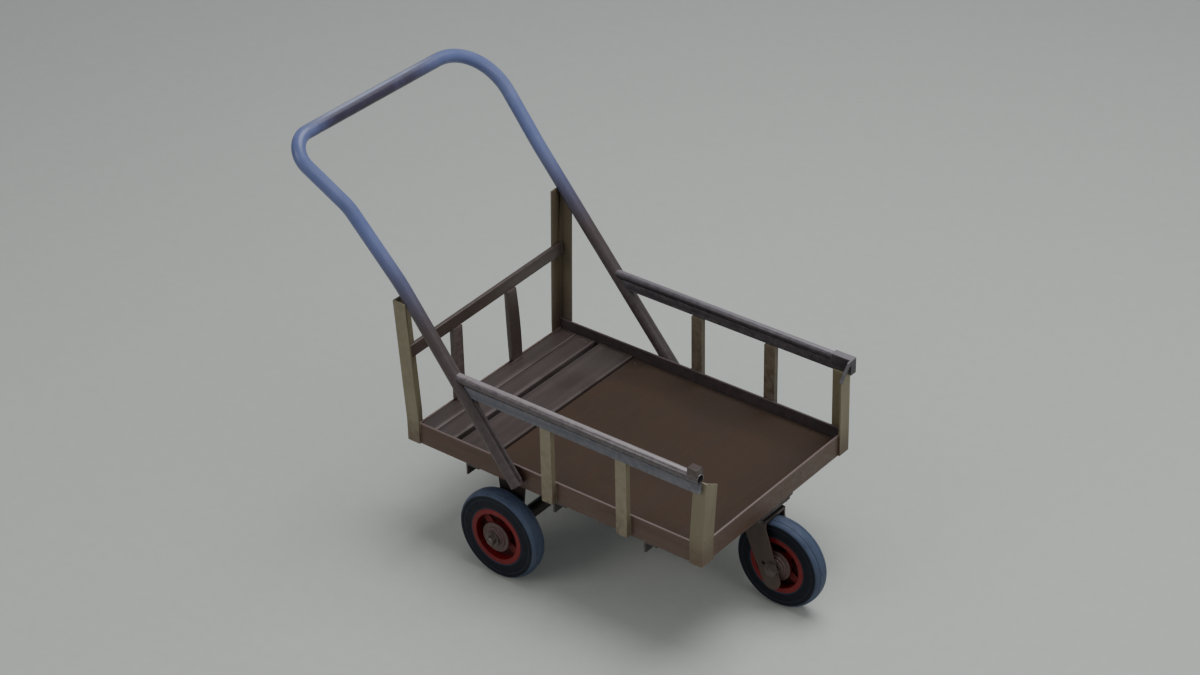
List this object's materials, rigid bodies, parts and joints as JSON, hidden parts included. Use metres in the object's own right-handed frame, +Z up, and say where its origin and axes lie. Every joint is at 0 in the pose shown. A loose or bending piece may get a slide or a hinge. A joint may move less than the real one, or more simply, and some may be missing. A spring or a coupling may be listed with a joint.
{
  "type": "hotel luggage cart",
  "caption": "Low platform luggage cart with a board deck in a steel tray, side rails, a leaning tubular push handle, rear wheels and a swivel castor.",
  "frame": {"origin": "middle of the overall box at ground level, under the deck", "axes": "+X from the push handle to the open front end, +Y to the far side with the bent rear upright, +Z up"},
  "size_m": [1.2538, 0.7135, 1.021],
  "materials": {
    "tray_paint": "satin, worn",
    "post_paint": "satin, worn",
    "brown_paint": "satin, worn",
    "rail_paint": "satin",
    "handle_paint": "satin",
    "panel_wood": "matt, soiled",
    "board_wood": "matt",
    "tyre": "matt",
    "rim": "satin",
    "hub": "satin",
    "bare_steel": "dull"
  },
  "bodies": {
    "cart_frame": {"arm_stay_near": "handle_paint", "axle_hanger_far": "tray_paint", "axle_hanger_near": "tray_paint", "castor_bearer": "tray_paint", "castor_bolts": "bare_steel", "castor_top_plate": "tray_paint", "corner_cap_far": "rail_paint", "corner_cap_near": "brown_paint", "corner_post_front_far": "post_paint", "corner_post_front_near": "post_paint", "corner_post_rear_far": "post_paint", "corner_post_rear_near": "post_paint", "cross_member_1": "tray_paint", "cross_member_2": "tray_paint", "cross_member_3": "tray_paint", "deck_board_1": "board_wood", "deck_board_2": "board_wood", "deck_board_3": "board_wood", "deck_panel": "panel_wood", "deck_screws": "bare_steel", "front_member": "tray_paint", "kingpin": "bare_steel", "push_handle": "handle_paint", "rear_axle_shaft": "bare_steel", "rear_axle_tube": "tray_paint", "rear_axle_washers": "bare_steel", "rear_member": "tray_paint", "rear_rail": "brown_paint", "rear_upright_far": "brown_paint", "rear_upright_near": "brown_paint", "side_member_far": "tray_paint", "side_member_near": "tray_paint", "side_rail_bar_far": "rail_paint", "side_rail_bar_near": "rail_paint", "side_rail_tube_far": "rail_paint", "side_rail_tube_near": "rail_paint", "side_upright_far_1": "post_paint", "side_upright_far_2": "post_paint", "side_upright_near_1": "post_paint", "side_upright_near_2": "post_paint", "split_pins": "bare_steel", "swivel_race_upper": "bare_steel"},
    "rear_wheel_near": {"rear_wheel_near_hub_bush": "bare_steel", "rear_wheel_near_hub_caps": "hub", "rear_wheel_near_rim": "rim", "rear_wheel_near_tyre": "tyre"},
    "rear_wheel_far": {"rear_wheel_far_hub_bush": "bare_steel", "rear_wheel_far_hub_caps": "hub", "rear_wheel_far_rim": "rim", "rear_wheel_far_tyre": "tyre"},
    "castor_wheel": {"castor_wheel_hub_bush": "bare_steel", "castor_wheel_hub_caps": "hub", "castor_wheel_rim": "rim", "castor_wheel_tyre": "tyre"},
    "castor_fork": {"fork_crown": "tray_paint", "fork_leg_near": "tray_paint", "fork_leg_far": "tray_paint", "castor_axle": "bare_steel", "castor_axle_nuts": "bare_steel", "swivel_race_lower": "bare_steel"}
  },
  "joints": [
    {"name": "rear_wheel_near_spin", "type": "hinge", "parent": "cart_frame", "child": "rear_wheel_near", "pos_m": [-0.07602, -0.28549, 0.115], "axis": [0, 1, 0], "continuous": true},
    {"name": "rear_wheel_far_spin", "type": "hinge", "parent": "cart_frame", "child": "rear_wheel_far", "pos_m": [-0.07602, 0.30851, 0.115], "axis": [0, 1, 0], "continuous": true},
    {"name": "castor_swivel", "type": "hinge", "parent": "cart_frame", "child": "castor_fork", "pos_m": [0.45098, 0.01151, 0.233], "axis": [0, 0, 1], "continuous": true},
    {"name": "castor_wheel_spin", "type": "hinge", "parent": "castor_fork", "child": "castor_wheel", "pos_m": [0.51198, 0.01151, 0.115], "axis": [0, 1, 0], "continuous": true}
  ]
}
